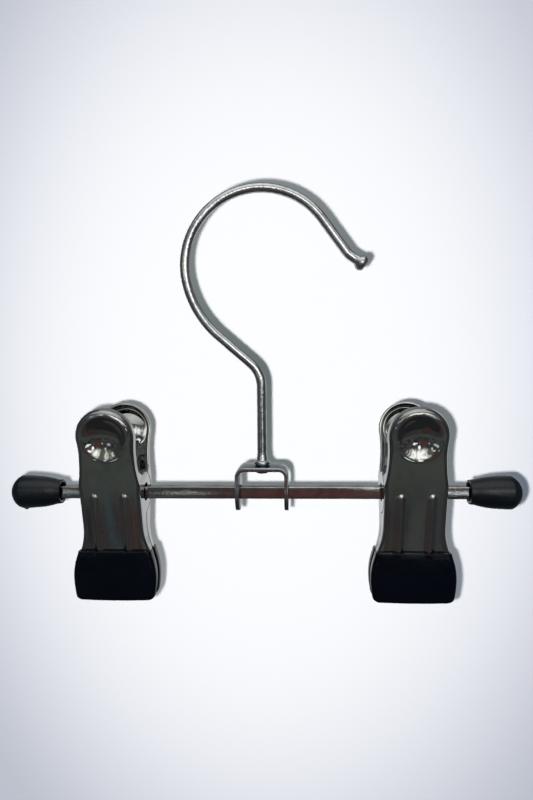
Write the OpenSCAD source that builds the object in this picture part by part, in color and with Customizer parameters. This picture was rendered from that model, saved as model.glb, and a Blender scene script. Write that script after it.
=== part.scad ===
// Small clip hanger: a swivelling wire hook, a square bar in a bent yoke,
// two pressed-steel spring clips that slide on the bar, and soft end caps.
// Front is -Y, up is +Z. The origin is where the hook sits on its rail.

/* [Hook] */
// Diameter of the hook wire
wire_d = 2.8; // [2.4:0.1:3.2]
// Radius of the curve over the rail, at the middle of the wire
hook_r = 22; // [20:0.5:25]
// Height of the centre of that curve above the bar
hook_rise = 66; // [62:1:80]
// Radius of the flatter back curve, at the middle of the wire
back_r = 28.5; // [27:0.5:32]
// How far below level the rail curve meets the back curve, in degrees
back_start = 12; // [6:1:18]
// Slope of the straight run down to the shank, in degrees
heel_slope = 41; // [36:1:46]
// Radius of the bend into the shank
heel_r = 9; // [6:0.5:10]
// Where the rail curve ends above level on the open side, in degrees
nose_start = 36; // [28:1:44]
// Straight run from the rail curve to the kick-out
nose_run = 11.8; // [8:0.2:13]
// Turn of the kick-out at the open end, in degrees
kick_turn = 20; // [10:1:30]
// Radius of the kick-out bend
kick_r = 5; // [4:0.5:8]
// Straight run from the kick-out to the button
tip_run = 3.6; // [2.4:0.2:6]
// Diameter of the upset button at the tip
button_d = 4.6; // [4.2:0.1:6]
// Thickness of that button
button_t = 2.6; // [1.8:0.1:3]

/* [Swivel] */
// Diameter of the collar that rests over the yoke
collar_d = 4.8; // [4.4:0.1:6]
// Height of the collar's rounded rim
collar_h = 1.4; // [1:0.1:2]
// Height of the flare between collar and wire
flare_h = 1.6; // [1:0.1:3]
// Diameter of the spigot that turns in the yoke
spigot_d = 2.4; // [2:0.1:2.8]
// Diameter of the head peened under the yoke
peen_d = 4; // [3.4:0.1:4.8]
// Height of that head
peen_h = 1.2; // [0.8:0.1:1.4]
// Running clearance round the spigot and at each end of it
swivel_gap = 0.05; // [0.02:0.01:0.08]

/* [Yoke] */
// Width across the yoke's legs
yoke_w = 15.4; // [13:0.2:18]
// Width of the strap, front to back
strap_w = 10.8; // [9:0.2:13]
// Thickness of the strap
strap_t = 1.2; // [1:0.1:1.6]
// Height of the yoke's top face above the bar's centre
yoke_rise = 7.9; // [6.8:0.1:10]
// Outer radius of the yoke's bends
yoke_bend_r = 2.8; // [2:0.1:3.6]

/* [Bar] */
// Length of the bar
bar_l = 143; // [136:1:200]
// Side of the square bar
bar_side = 3.6; // [3.2:0.1:3.8]
// Radius along the bar's edges
bar_edge_r = 0.4; // [0.2:0.1:0.8]
// Clearance of the bar in the yoke and the caps
bar_gap = 0.02; // [0.01:0.01:0.05]

/* [End caps] */
// Length of a cap
cap_l = 15.2; // [12:0.2:20]
// Diameter at the rounded end
cap_d = 10.2; // [9:0.1:13]
// Diameter at the mouth
cap_mouth_d = 7; // [6.4:0.1:8]
// Solid end beyond the bar
cap_end = 3.5; // [2:0.1:5]
// Rounding of the solid end
cap_round = 3.4; // [2:0.1:4]
// Height of the bead round the mouth
cap_bead = 0.3; // [0.2:0.05:0.5]

/* [Clips] */
// Distance of each clip from the hook's axis
clip_x = 43.6; // [28:0.2:47]
// Thickness of the pressed sheet
sheet = 0.8; // [0.6:0.1:0.9]
// Outer radius where the sheet folds back
fold_r = 1.5; // [1.2:0.1:1.7]
// Distance of a jaw's outer face from the bar's centre
plate_out = 7.4; // [7.2:0.1:8.4]
// Lean of each lever from upright, in degrees
lean = 13.5; // [12:0.5:16]
// Half width across the ears
body_hw = 8.9; // [8.4:0.1:9.8]
// Half width at the neck under the head
neck_hw = 8.05; // [7.8:0.05:8.3]
// Radius of the neck's side curves
neck_r = 40; // [30:1:60]
// Radius of the round head
head_r = 8.4; // [8.4:0.1:9.4]
// Distance of the head's centre from the bar, along the lever
head_y = 19.2; // [18:0.2:23]
// Depth of the folded rim round the head
rim_depth = 3; // [2.4:0.1:3.2]
// Radius of the thumb dish
dish_r = 6.3; // [5:0.1:6.6]
// Depth of the thumb dish
dish_depth = 2; // [1.2:0.1:2.2]
// Radius of the side curves that flare out to the pad
flare_r = 22; // [16:1:40]
// Where that flare starts below the bar, along the lever
flare_start = 8; // [7:0.2:10]
// Spacing of the two pressed ribs
rib_gap = 8.7; // [7:0.1:9]
// Radius of a rib's round section
rib_r = 1.5; // [1.2:0.1:1.7]
// How far a rib stands proud
rib_proud = 0.55; // [0.3:0.05:0.7]
// Where the ribs end, along the lever from the bar
rib_top = 1.4; // [0:0.2:4]
// Radius of the outer ear
ear_r = 5.8; // [5:0.1:6]
// Clearance between ears, and round an ear
ear_gap = 0.3; // [0.2:0.05:0.4]
// Diameter of the ear holes that turn on the bar
ear_hole_d = 5.4; // [5:0.1:6]
// Gap between the two jaws where they meet
jaw_gap = 0.3; // [0.2:0.05:0.5]
// Opening angle of each jaw, in degrees
jaw_open = 21; // [15:1:21]

/* [Pads] */
// Top of the pads below the bar
pad_top = 17; // [15:0.2:19]
// Height of a pad
pad_h = 15; // [12:0.2:18]
// Half width of a pad at its widest
pad_hw = 12; // [11:0.1:14]
// How much narrower each side is at the top
pad_in_top = 1.4; // [0.5:0.1:1.8]
// How much narrower each side is at the bottom
pad_in_bottom = 1.1; // [0.4:0.1:1.8]
// Rounding of the pad's edges
pad_round = 1.6; // [1:0.1:1.8]
// Thickness of the pad in front of the sheet
pad_cover = 1.3; // [0.8:0.1:1.8]
// Half width of the jaw's flat tip inside the pad
tip_hw = 8.4; // [6:0.2:8.8]
// Length of that tip inside the pad
tip_in = 13; // [9:0.2:13.4]
// Clearance of the tip in the pad
pad_gap = 0.03; // [0.02:0.01:0.06]

/* [Springs] */
// Diameter of the spring wire
spring_wire = 1.1; // [0.9:0.1:1.2]
// Radius of the coil at the middle of the wire
spring_r = 3.9; // [3.8:0.1:4.4]
// Half turns added to the spring's first part turn
spring_half_turns = 8; // [6:2:8]
// Distance from turn to turn
spring_pitch = 1.8; // [1.7:0.05:2]
// Lean of a spring leg from upright, in degrees
leg_lean = 24; // [23.5:0.5:26]
// Clearance between a leg and its lever
leg_gap = 0.15; // [0.1:0.05:0.3]

/* [Hidden] */
$fn = 64;
// Small overlap where one cut runs past a face
over = 1;
// Every second stretch of a bent piece is a hair thinner on each side and
// laps into its neighbours, so that no two ends have to match exactly
hair = 0.02;
lap = 0.3;

chrome = [0.78, 0.79, 0.80];
pressed_steel = [0.42, 0.42, 0.40];
black_vinyl = [0.05, 0.05, 0.06];
spring_steel = [0.60, 0.60, 0.60];

// Hook centre line in the XZ plane, from the rail curve to the shank
rail_c = [0, -(hook_r - wire_d / 2)];
bar_z = rail_c[1] - hook_rise;
back_c = rail_c + (back_r - hook_r) * [cos(back_start), sin(back_start)];
back_end_at = 270 - heel_slope;
back_end = back_c + back_r * [cos(back_end_at), sin(back_end_at)];
heel_turn = 90 - heel_slope;
heel_len = -back_end[0] / cos(heel_slope) - heel_r * tan(heel_turn / 2);
heel_end = back_end + heel_len * [cos(heel_slope), -sin(heel_slope)];
heel_c = heel_end - heel_r * [sin(heel_slope), cos(heel_slope)];
// and from the rail curve to the button
nose = rail_c + hook_r * [cos(nose_start), sin(nose_start)];
nose_dir = nose_start - 90;
nose_end = nose + nose_run * [cos(nose_dir), sin(nose_dir)];
kick_c = nose_end + kick_r * [cos(nose_dir + 90), sin(nose_dir + 90)];
tip_dir = nose_dir + kick_turn;
kick_end = kick_c + kick_r * [cos(tip_dir - 90), sin(tip_dir - 90)];
tip = kick_end + tip_run * [cos(tip_dir), sin(tip_dir)];
collar_z = bar_z + yoke_rise + swivel_gap;

// Bar and caps
bar_corner_r = (bar_side / 2 - bar_edge_r) * sqrt(2) + bar_edge_r;
cap_bore_r = bar_corner_r + bar_gap;
cap_bore_l = cap_l - cap_end;

// Jaw outline: the head's circle runs into the neck curve, then the ears
neck_c = [neck_hw + neck_r, head_y - sqrt(pow(head_r + neck_r, 2) - pow(neck_hw + neck_r, 2))];
neck_from = atan2(neck_c[1] - head_y, neck_c[0]);
shoulder_y = neck_c[1] - sqrt(pow(neck_r, 2) - pow(neck_c[0] - body_hw, 2));
neck_to = atan2(shoulder_y - neck_c[1], body_hw - neck_c[0]) + 360;
flare_c = [body_hw + flare_r, -flare_start];
jaw_end = pad_top + 2 * over;
flare_turn = asin((jaw_end - flare_start) / flare_r);
// The meeting plane of the two jaws, seen in a jaw lying on its back
function meet_z(y) = (jaw_gap / 2 - y * sin(lean)) / cos(lean);
// Edge of the web above the ear leaves room for the jaws to close on each other
vee = jaw_open + 3 - lean;
flange_deep = plate_out + ear_r + over;
inner_ear_x = body_hw - sheet - ear_gap;
inner_ear_r = ear_r - 2 * ear_gap;
dish_sphere_r = (pow(dish_r, 2) + pow(dish_depth, 2)) / (2 * dish_depth);

// The jaw's upright tip inside the pad
tip_face = plate_out / cos(lean) - pad_top * tan(lean);

// Spring: the coil is the same seen from the front and from the back
coil_start = 180 + leg_lean;
coil_turn = 180 * spring_half_turns + 180 - 2 * (leg_lean + 90) + 180;
coil_rings = ceil(coil_turn / 45);
leg_from = spring_r * [cos(coil_start), sin(coil_start)];
leg_dir = [-sin(leg_lean), cos(leg_lean)];
// How far a point of the front half lies out from the bar, square to the lever
function lever_out(p) = -p[0] * cos(lean) - p[1] * sin(lean);
leg_l = (plate_out - sheet - spring_wire / 2 - leg_gap - lever_out(leg_from)) / lever_out(leg_dir);
leg_end = leg_from + leg_l * leg_dir;

// Hook

module wire_arc(c, r, from, to, thin = false) {
    more = thin ? lap / r * 180 / PI : 0;
    translate([c[0], 0, c[1]])
        rotate([90, 0, 0])
            rotate([0, 0, from - more])
                rotate_extrude(angle = to - from + 2 * more)
                    translate([r, 0])
                        circle(d = thin ? wire_d - 2 * hair : wire_d);
}

module wire_run(p, dir, len, thin = false) {
    more = thin ? lap : 0;
    translate([p[0], 0, p[1]])
        rotate([0, 90 - dir, 0])
            translate([0, 0, -more])
                cylinder(d = thin ? wire_d - 2 * hair : wire_d, h = len + 2 * more);
}

// The shank: head peened below the yoke, spigot, collar, flare and wire
module shank() {
    peen_top = collar_z - strap_t - 2 * swivel_gap;
    collar_in = collar_d / 2 - collar_h / 2;
    rotate_extrude() {
        polygon([[0, peen_top - peen_h], [0.28 * peen_d, peen_top - peen_h],
                 [0.43 * peen_d, peen_top - 0.75 * peen_h], [peen_d / 2, peen_top - 0.35 * peen_h],
                 [peen_d / 2, peen_top], [spigot_d / 2, peen_top],
                 [spigot_d / 2, collar_z], [collar_in, collar_z], [collar_in, collar_z + collar_h],
                 [wire_d / 2, collar_z + collar_h + flare_h], [wire_d / 2, heel_c[1]], [0, heel_c[1]]]);
        // Round rim of the collar
        intersection() {
            translate([collar_in, collar_z + collar_h / 2])
                circle(d = collar_h);
            translate([collar_in, collar_z])
                square([collar_h, collar_h]);
        }
    }
}

module hook() color(chrome) {
    wire_arc(rail_c, hook_r, nose_start, 180 + back_start);
    wire_arc(back_c, back_r, 180 + back_start, back_end_at, true);
    wire_run(back_end, -heel_slope, heel_len);
    wire_arc(heel_c, heel_r, 0, heel_turn, true);
    shank();
    wire_run(nose, nose_dir, nose_run, true);
    wire_arc(kick_c, kick_r, nose_dir - 90, tip_dir - 90);
    wire_run(kick_end, tip_dir, tip_run, true);
    translate([tip[0], 0, tip[1]])
        rotate([0, 90 - tip_dir, 0])
            intersection() {
                sphere(d = button_d);
                cube([2 * button_d, 2 * button_d, button_t], center = true);
            }
}

// Yoke and bar

module rounded_square(side, r) {
    square([side - 2 * r, side], center = true);
    square([side, side - 2 * r], center = true);
    for (x = [-1, 1], y = [-1, 1])
        translate([x, y] * (side / 2 - r))
            circle(r);
}

// An arch from below the bar up to its top, with round corners
module arch(w, top, r, bottom) {
    translate([-w / 2, bottom])
        square([w, top - r - bottom]);
    translate([-w / 2 + r, bottom])
        square([w - 2 * r, top - bottom]);
    for (x = [-1, 1])
        translate([x * (w / 2 - r), top - r])
            circle(r);
}

module yoke() color(chrome)
    translate([0, 0, bar_z])
        difference() {
            intersection() {
                rotate([90, 0, 0])
                    linear_extrude(strap_w, center = true)
                        difference() {
                            arch(yoke_w, yoke_rise, yoke_bend_r, -strap_w);
                            arch(yoke_w - 2 * strap_t, yoke_rise - strap_t, yoke_bend_r - strap_t, -strap_w - over);
                        }
                // Legs end in a half round about the bar
                rotate([90, 0, 90])
                    linear_extrude(yoke_w + over, center = true) {
                        circle(d = strap_w);
                        translate([-strap_w / 2, 0])
                            square([strap_w, yoke_rise + over]);
                    }
            }
            rotate([90, 0, 90])
                linear_extrude(yoke_w + over, center = true)
                    rounded_square(bar_side + 2 * bar_gap, bar_edge_r + bar_gap);
            cylinder(d = spigot_d + 2 * swivel_gap, h = yoke_rise + over);
        }

module bar() color(chrome)
    translate([0, 0, bar_z])
        rotate([90, 0, 90])
            linear_extrude(bar_l, center = true)
                rounded_square(bar_side, bar_edge_r);

// End caps, pushed on until the bar meets the bottom of the bore

module end_cap() color(black_vinyl)
    rotate([0, 90, 0])
        rotate_extrude()
            difference() {
                union() {
                    polygon([[0, 0], [cap_mouth_d / 2, 0], [cap_d / 2, cap_l - cap_round],
                             [cap_d / 2 - cap_round, cap_l], [0, cap_l]]);
                    intersection() {
                        translate([cap_d / 2 - cap_round, cap_l - cap_round])
                            circle(cap_round);
                        translate([0, cap_l - cap_round])
                            square([cap_d, cap_round]);
                    }
                    // Bead round the mouth
                    translate([cap_mouth_d / 2, cap_bead])
                        circle(cap_bead);
                }
                square([2 * cap_bore_r, 2 * cap_bore_l], center = true);
            }

module right_end_cap()
    translate([bar_l / 2 - cap_bore_l, 0, bar_z])
        end_cap();

module left_end_cap()
    mirror([1, 0, 0])
        right_end_cap();

// One jaw, lying on its back: x across, y towards the head, z out of the
// outer face, with the bar along the x axis through the origin

// The pressed edge in section: flat strip, fold and flange
module pressed_edge(flange, thin = 0) {
    strip = 2 * fold_r;
    translate([-fold_r - strip, -sheet + thin])
        square([strip, sheet - 2 * thin]);
    translate([-fold_r, -fold_r])
        intersection() {
            difference() {
                circle(fold_r - thin);
                circle(fold_r - sheet + thin);
            }
            square(fold_r);
        }
    translate([-sheet + thin, -flange])
        square([sheet - 2 * thin, flange - fold_r]);
}

// The edge round the head, with its folded rim
module head_edge()
    translate([0, head_y, plate_out])
        rotate([0, 0, neck_from])
            rotate_extrude(angle = 180 - 2 * neck_from)
                translate([head_r, 0])
                    pressed_edge(rim_depth + hair);

// An edge that curves away from the jaw, lapping into the stretch before it
module hollow_edge(c, r, from, to) {
    more = lap / r * 180 / PI;
    translate([c[0], c[1], plate_out])
        rotate([0, 0, from - more])
            rotate_extrude(angle = to - from + more)
                translate([r, 0])
                    mirror([1, 0])
                        pressed_edge(flange_deep, hair);
}

module straight_edge(x, from, to)
    translate([x, to, plate_out])
        rotate([90, 0, 0])
            linear_extrude(to - from)
                pressed_edge(flange_deep);

// The edge of one side, from the head down to the pad
module side_edge() {
    hollow_edge(neck_c, neck_r, neck_from + 180, neck_to);
    straight_edge(body_hw, -flare_start, shoulder_y);
    hollow_edge(flare_c, flare_r, 180, 180 + flare_turn);
}

// What is left of a flange, seen from the side
module flange_shape() {
    head_end = head_y + head_r + over;
    polygon([[-jaw_end, plate_out + over], [head_end, plate_out + over],
             [head_end, plate_out - rim_depth], [shoulder_y + rim_depth, plate_out - rim_depth],
             0.9 * ear_r * [cos(vee), sin(vee)], [0, meet_z(0)], [-jaw_end, meet_z(-jaw_end)]]);
}

module across(w)
    rotate([90, 0, 90])
        linear_extrude(w, center = true)
            children();

module outer_flange()
    intersection() {
        side_edge();
        across(4 * body_hw) {
            flange_shape();
            circle(ear_r);
        }
    }

// The other flange stands back round the ear of the facing jaw
module inner_flange()
    mirror([1, 0, 0])
        intersection() {
            side_edge();
            across(4 * body_hw)
                difference() {
                    flange_shape();
                    circle(ear_r + ear_gap);
                }
        }

module inner_ear()
    translate([-inner_ear_x + sheet / 2, 0, 0])
        across(sheet) {
            circle(inner_ear_r);
            translate([-inner_ear_r, 0])
                square([2 * inner_ear_r, plate_out - sheet / 2]);
        }

module rib(r)
    translate([0, 0, plate_out - rib_r + rib_proud]) {
        translate([0, rib_top, 0])
            rotate([90, 0, 0])
                cylinder(r = r, h = rib_top + jaw_end);
        translate([0, rib_top, 0])
            sphere(r = r);
    }

module ribs(r)
    for (x = [-1, 1])
        translate([x * rib_gap / 2, 0, 0])
            rib(r);

module dish(r)
    translate([0, head_y, plate_out - dish_depth + dish_sphere_r])
        sphere(r = r);

module pressed_jaw()
    difference() {
        union() {
            head_edge();
            outer_flange();
            inner_flange();
            inner_ear();
            translate([0, 0, plate_out - sheet])
                linear_extrude(sheet) {
                    translate([0, head_y])
                        circle(head_r - fold_r);
                    translate([-neck_hw + 2 * fold_r, -jaw_end])
                        square([2 * (neck_hw - 2 * fold_r), jaw_end + head_y]);
                }
            intersection() {
                dish(dish_sphere_r + sheet);
                translate([0, head_y, plate_out - dish_depth - 2 * sheet])
                    cylinder(r = head_r - fold_r, h = dish_depth + 2 * sheet);
            }
            intersection() {
                ribs(rib_r);
                translate([-body_hw, -jaw_end, plate_out - sheet])
                    cube([2 * body_hw, jaw_end + head_y, 2 * sheet]);
            }
        }
        dish(dish_sphere_r);
        ribs(rib_r - sheet);
        across(4 * body_hw)
            circle(d = ear_hole_d);
    }

// The jaw on the bar, with its lever leaning out and its tip upright
module jaw() color(pressed_steel) {
    difference() {
        rotate([90 + lean, 0, 0])
            pressed_jaw();
        translate([-2 * pad_hw, -2 * pad_hw, -pad_top - 4 * pad_h + pad_gap])
            cube([4 * pad_hw, 4 * pad_hw, 4 * pad_h]);
    }
    jaw_tip(0);
}

// Flat tip inside the pad, grown by a clearance for the pad's pocket
module jaw_tip(gap)
    translate([-tip_hw - gap, -tip_face - gap, -pad_top - tip_in - gap])
        cube([2 * (tip_hw + gap), sheet + 2 * gap, tip_in + over + gap]);

// Soft pad over the tip, widest a little above its middle
module pad() color(black_vinyl)
    difference() {
        hull()
            for (side = [-1, 1], y = [-tip_face - pad_cover + pad_round, -jaw_gap / 2 - pad_round]) {
                translate([side * (pad_hw - pad_in_top - pad_round), y, -pad_top - pad_round])
                    sphere(r = pad_round, $fn = 24);
                translate([side * (pad_hw - pad_round), y, -pad_top - pad_h / 2])
                    sphere(r = pad_round, $fn = 24);
                translate([side * (pad_hw - pad_in_bottom - pad_round), y, -pad_top - pad_h + pad_round])
                    sphere(r = pad_round, $fn = 24);
            }
        jaw_tip(pad_gap);
    }

// Torsion spring round the bar, one unbroken tube

coil_path = [for (i = [0 : coil_rings])
    let (a = coil_start + coil_turn * i / coil_rings)
        [spring_pitch * coil_turn / 360 * (i / coil_rings - 0.5), spring_r * cos(a), spring_r * sin(a)]];
leg_x = spring_pitch * coil_turn / 720;
spring_path = concat([[-leg_x, leg_end[0], leg_end[1]]], coil_path, [[leg_x, -leg_end[0], leg_end[1]]]);

// Least room between stretches of the tube that aren't neighbours
spring_self_gap = min([for (i = [0 : len(spring_path) - 7], j = [i + 6 : len(spring_path) - 1])
    norm(spring_path[i] - spring_path[j])]) - spring_wire;
echo(spring_self_gap = spring_self_gap);

function unit(v) = v / norm(v);
function path_dir(path, i) =
    unit(path[min(i + 1, len(path) - 1)] - path[max(i - 1, 0)]);
// One ring of the tube, square to the path
function ring(path, i, d, sides) =
    let (t = path_dir(path, i), u = unit([1, 0, 0] - t[0] * t), v = cross(t, u))
        [for (k = [0 : sides - 1])
            path[i] + d / 2 * (cos(360 * k / sides) * u + sin(360 * k / sides) * v)];

module tube(path, d, sides = 6) {
    n = len(path);
    points = [for (i = [0 : n - 1]) each ring(path, i, d, sides)];
    walls = [for (i = [0 : n - 2], k = [0 : sides - 1])
        let (a = i * sides + k, b = i * sides + (k + 1) % sides)
            each [[a, a + sides, b], [b, a + sides, b + sides]]];
    start = [for (k = [1 : sides - 2]) [0, k, k + 1]];
    end = [for (k = [1 : sides - 2]) [(n - 1) * sides, (n - 1) * sides + k + 1, (n - 1) * sides + k]];
    polyhedron(points, concat(walls, start, end), convexity = 6);
}

module spring() color(spring_steel)
    tube(spring_path, spring_wire);

// Places on the bar

module at_clip(side)
    translate([side * clip_x, 0, bar_z])
        children();

module front()
    children();

module back()
    rotate([0, 0, 180])
        children();

hook();
yoke();
bar();
left_end_cap();
right_end_cap();
at_clip(-1) front() jaw();  // left_front_jaw
at_clip(-1) back() jaw();  // left_back_jaw
at_clip(-1) front() pad();  // left_front_pad
at_clip(-1) back() pad();  // left_back_pad
at_clip(-1) spring();  // left_spring
at_clip(1) front() jaw();  // right_front_jaw
at_clip(1) back() jaw();  // right_back_jaw
at_clip(1) front() pad();  // right_front_pad
at_clip(1) back() pad();  // right_back_pad
at_clip(1) spring();  // right_spring
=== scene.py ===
from math import acos, cos, exp, hypot, pi, radians, sin, sqrt, tau

import bmesh
import bpy
from mathutils import Matrix, Vector


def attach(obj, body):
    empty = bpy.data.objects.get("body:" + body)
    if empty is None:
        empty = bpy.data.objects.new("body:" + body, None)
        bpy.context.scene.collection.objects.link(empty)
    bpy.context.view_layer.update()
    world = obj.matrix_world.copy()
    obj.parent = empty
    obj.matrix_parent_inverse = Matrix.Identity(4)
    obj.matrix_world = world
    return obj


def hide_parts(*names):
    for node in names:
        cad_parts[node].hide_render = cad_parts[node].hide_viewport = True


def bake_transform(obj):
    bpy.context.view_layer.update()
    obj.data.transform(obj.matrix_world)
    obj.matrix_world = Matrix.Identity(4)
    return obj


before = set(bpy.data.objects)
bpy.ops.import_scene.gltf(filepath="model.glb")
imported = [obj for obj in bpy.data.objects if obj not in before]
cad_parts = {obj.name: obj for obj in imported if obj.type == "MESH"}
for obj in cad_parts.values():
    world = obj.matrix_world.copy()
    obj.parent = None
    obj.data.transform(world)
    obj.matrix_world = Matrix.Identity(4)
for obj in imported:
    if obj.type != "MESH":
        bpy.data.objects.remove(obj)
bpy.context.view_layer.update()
scene = bpy.context.scene
scene.view_settings.view_transform = "Standard"

# Camera: held a hand's length in front of the hanger, a little to the right of
# its middle and level with the heel of the hook, and tilted slightly down.
PHOTO_WIDTH_PX = 533
FOCAL_PX = 620
SENSOR_MM = 36
CLIP_START = 0.01
CAMERA_AT = Vector((0.01043, -0.18056, -0.04845))
YAW, PITCH, ROLL = (radians(a) for a in (-2.86, -3.51, -0.48))


def add(name, data):
    """Puts a camera, lamp or mesh into the scene as an object."""
    made = bpy.data.objects.new(name, data)
    scene.collection.objects.link(made)
    return made


lens = bpy.data.cameras.new("photo_view")
lens.sensor_fit = "HORIZONTAL"
lens.sensor_width = SENSOR_MM
lens.lens = SENSOR_MM * FOCAL_PX / PHOTO_WIDTH_PX
lens.clip_start = CLIP_START
camera = add("photo_view", lens)
ahead = Vector((sin(YAW) * cos(PITCH), cos(YAW) * cos(PITCH), sin(PITCH)))
right = ahead.cross(Vector((0, 0, 1))).normalized()
up = right.cross(ahead)
right, up = right * cos(ROLL) + up * sin(ROLL), up * cos(ROLL) - right * sin(ROLL)
facing = Matrix((right, up, -ahead)).transposed().to_4x4()
camera.matrix_world = Matrix.Translation(CAMERA_AT) @ facing
scene.camera = camera

# Backdrop: a large sheet of pale paper hung behind the hanger, far enough away
# for the frame to turn in front of it. Seen from behind it lets the view through.
BACKDROP_Y = 0.12
BACKDROP_HALF = 0.8
BACKDROP_MIDDLE = (-0.006, -0.064)
PAPER = (0.22, 0.222, 0.226, 1)
# Half width and half height of the part that the camera sees
SEEN_HALF = (0.129, 0.194)
# How the paper's painted light fades from a white middle to bluish grey edges: share of twice the
# seen half size, and colour there
PAPER_FADE = (
    (0.0, (1.0, 1.0, 1.0)), (0.2, (1.0, 1.0, 1.0)), (0.36, (0.965, 0.968, 0.98)),
    (0.5, (0.82, 0.832, 0.87)), (0.62, (0.64, 0.655, 0.71)), (0.72, (0.51, 0.53, 0.59)),
    (1.0, (0.46, 0.48, 0.54)))
# Where the paper's lamp hangs and how far off the paper
WALL_LAMP_AT = CAMERA_AT + Vector((-0.0044, 0, -0.0027))
LAMP_REACH = BACKDROP_Y - WALL_LAMP_AT.y
# What the room and the lamp give the paper before it glows, the power of the squared
# distance with which lamplight fades, and the tint that it is cooled to
PAPER_ROOM, PAPER_LAMP = (0.103, 0.103, 0.103), (0.855, 0.834, 0.838)
LAMP_FALL = -1.5
PAPER_COOL = (1.0, 1.025, 1.11)
# How metal shows the paper, as a painted reflection that glows: share of the way between two
# heights over its middle, and tone there. Its foot is painted dim, and upright painted streaks
# darken and lighten it.
MIRRORED_SPAN = (-0.3, 0.5)
PAPER_MIRRORED = (
    (0.0, (0.06, 0.062, 0.066)), (0.2, (0.10, 0.104, 0.11)), (0.245, (0.22, 0.226, 0.236)),
    (0.285, (0.9, 0.92, 0.95)), (0.4, (1.0, 1.0, 1.0)), (0.435, (0.42, 0.43, 0.45)),
    (1.0, (0.3, 0.31, 0.33)))
STREAKS_PER_M, STREAK_CONTRAST, STREAK_RANGE = (70, 1, 5), (0.32, 0.68), (0.65, 1.2)
CORNERS = ((-1, -1), (1, -1), (1, 1), (-1, 1))


def put(tree, kind, inputs=None, **settings):
    """Adds a shader node. Each input is a value or the output that it is linked to."""
    made = tree.nodes.new("ShaderNode" + kind)
    for name, value in settings.items():
        setattr(made, name, value)
    for socket, value in (inputs or {}).items():
        if isinstance(value, bpy.types.NodeSocket):
            tree.links.new(value, made.inputs[socket])
        else:
            made.inputs[socket].default_value = value
    return made


def calc(tree, operation, *values):
    return put(tree, "Math", dict(enumerate(values)), operation=operation).outputs[0]


def vector(tree, operation, *values):
    made = put(tree, "VectorMath", dict(enumerate(values)), operation=operation)
    gives_value = operation in ("LENGTH", "DISTANCE", "DOT_PRODUCT")
    return made.outputs["Value" if gives_value else "Vector"]


def part_of(tree, spot, axis):
    return put(tree, "SeparateXYZ", {0: spot}).outputs[axis]


def remap(tree, value, low, high, to_low=0.0, to_high=1.0, blend="LINEAR"):
    """Carries a value from one range over to another, and no further than its ends."""
    return put(tree, "MapRange", {"Value": value, "From Min": low, "From Max": high,
                                  "To Min": to_low, "To Max": to_high},
               interpolation_type=blend).outputs[0]


def noise(tree, spot, scale, detail=2.0, roughness=0.5, distortion=0.0):
    return put(tree, "TexNoise", {"Vector": spot, "Scale": scale, "Detail": detail,
                                  "Roughness": roughness, "Distortion": distortion}).outputs[0]


def colour_steps(tree, value, steps, blend="LINEAR"):
    """Colours that follow a value, given as places from 0 to 1 and colours there."""
    made = put(tree, "ValToRGB", {0: value})
    made.color_ramp.interpolation = blend
    stops = made.color_ramp.elements
    while len(stops) < len(steps):
        stops.new(0.5)
    for stop, (at, tone) in zip(stops, steps):
        stop.position = at
        stop.color = (*tone, 1)
    return made.outputs[0]


def seen_directly(tree):
    """One for rays from the camera and through clear pieces, else zero."""
    path = put(tree, "LightPath").outputs
    return calc(tree, "MAXIMUM", path["Is Camera Ray"], path["Is Transmission Ray"])


def glowing(tree, colour, strength=1.0):
    return put(tree, "Emission", {"Color": colour, "Strength": strength}).outputs[0]


def either(tree, share, first, second):
    """The first shader where the share is zero and the second where it is one."""
    return put(tree, "MixShader", {0: share, 1: first, 2: second}).outputs[0]


def bare_material(name):
    """A material without nodes, and its node tree."""
    made = bpy.data.materials.new(name)
    made.use_nodes = True
    made.node_tree.nodes.clear()
    return made, made.node_tree


def on_piece(tree):
    """The place on the piece, in its own frame."""
    return put(tree, "TexCoord").outputs["Object"]


def show(tree, shader):
    put(tree, "OutputMaterial", {"Surface": shader})


def flat_card(name, corners, material, at=(0, 0, 0)):
    """One flat face that stands about the hanger and is no part of it."""
    mesh = bpy.data.meshes.new(name)
    mesh.from_pydata(corners, [], [(0, 1, 2, 3)])
    mesh.materials.append(material)
    card = add(name, mesh)
    card.location = at
    return card


# Painted light: for rays from the camera the paper glows by whatever the lamp and the room leave
# lacking of the painted fade.
paper, tree = bare_material("pale_paper")
spot = on_piece(tree)
off_middle = vector(tree, "MULTIPLY", spot, (0.5 / SEEN_HALF[0], 0, 0.5 / SEEN_HALF[1]))
painted_fade = colour_steps(tree, vector(tree, "LENGTH", off_middle), PAPER_FADE, "B_SPLINE")
lamp_foot = (WALL_LAMP_AT.x - BACKDROP_MIDDLE[0], 0, WALL_LAMP_AT.z - BACKDROP_MIDDLE[1])
beside = vector(tree, "SUBTRACT", spot, lamp_foot)
square = vector(tree, "DOT_PRODUCT", beside, beside)
spread = calc(tree, "MULTIPLY_ADD", square, 1 / LAMP_REACH ** 2, 1.0)
lamp_share = calc(tree, "POWER", spread, LAMP_FALL)
given = vector(tree, "MULTIPLY_ADD", lamp_share, PAPER_LAMP, PAPER_ROOM)
most = calc(tree, "MULTIPLY_ADD", lamp_share, PAPER_LAMP[0], PAPER_ROOM[0])
least = vector(tree, "MINIMUM", vector(tree, "MULTIPLY", most, PAPER_COOL), (1, 1, 1))
lacking = vector(tree, "SUBTRACT", vector(tree, "MAXIMUM", painted_fade, least), given)
matt = put(tree, "BsdfDiffuse", {"Color": PAPER}).outputs[0]
lit_and_painted = put(tree, "AddShader", {0: matt, 1: glowing(tree, lacking, seen_directly(tree))}).outputs[0]
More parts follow.
